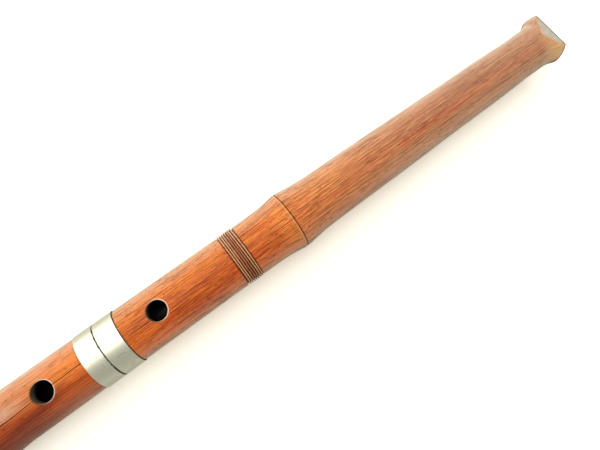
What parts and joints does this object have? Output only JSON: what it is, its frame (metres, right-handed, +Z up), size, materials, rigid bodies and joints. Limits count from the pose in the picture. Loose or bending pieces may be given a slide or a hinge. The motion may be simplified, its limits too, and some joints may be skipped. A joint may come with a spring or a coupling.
{
  "type": "shakuhachi",
  "caption": "End-blown bamboo flute in two sections, with an inlaid sloping blowing edge, metal bands at the joint, finger holes and a flared root end.",
  "frame": {"origin": "centre of the underside: halfway along the flute, under its axis, on the surface that it lies on", "axes": "+X along the bore from the root end to the mouth end, +Z up, the side of the finger holes"},
  "size_m": [0.545, 0.045, 0.0441],
  "materials": {
    "bamboo": "smoked bamboo with a clear red-brown lacquer, semi-gloss",
    "inlay": "pale grey horn-like inlay, polished",
    "bore_lacquer": "black-brown lacquer over a filled ground",
    "tenon": "rattan-wound tenon under dark lacquer",
    "band_metal": "satin nickel silver, lightly worn",
    "binding_cord": "twisted cord under clear lacquer"
  },
  "bodies": {
    "lower": {"lower_bamboo": "bamboo", "lower_bore_lining": "bore_lacquer", "socket_sleeve": "bore_lacquer", "lower_joint_band": "band_metal"},
    "tenon": {"tenon_sleeve": "tenon"},
    "upper": {"upper_bamboo": "bamboo", "mouth_inlay": "inlay", "upper_bore_lining": "bore_lacquer", "upper_joint_band": "band_metal", "cord_binding": "binding_cord"}
  },
  "joints": [
    {"name": "joint_pull", "type": "slide", "parent": "lower", "child": "tenon", "axis": [1, 0, 0], "range_m": [0, 0.04]},
    {"name": "joint_twist", "type": "hinge", "parent": "tenon", "child": "upper", "pos_m": [-0.0315, 0, 0.0167], "axis": [1, 0, 0], "continuous": true}
  ]
}
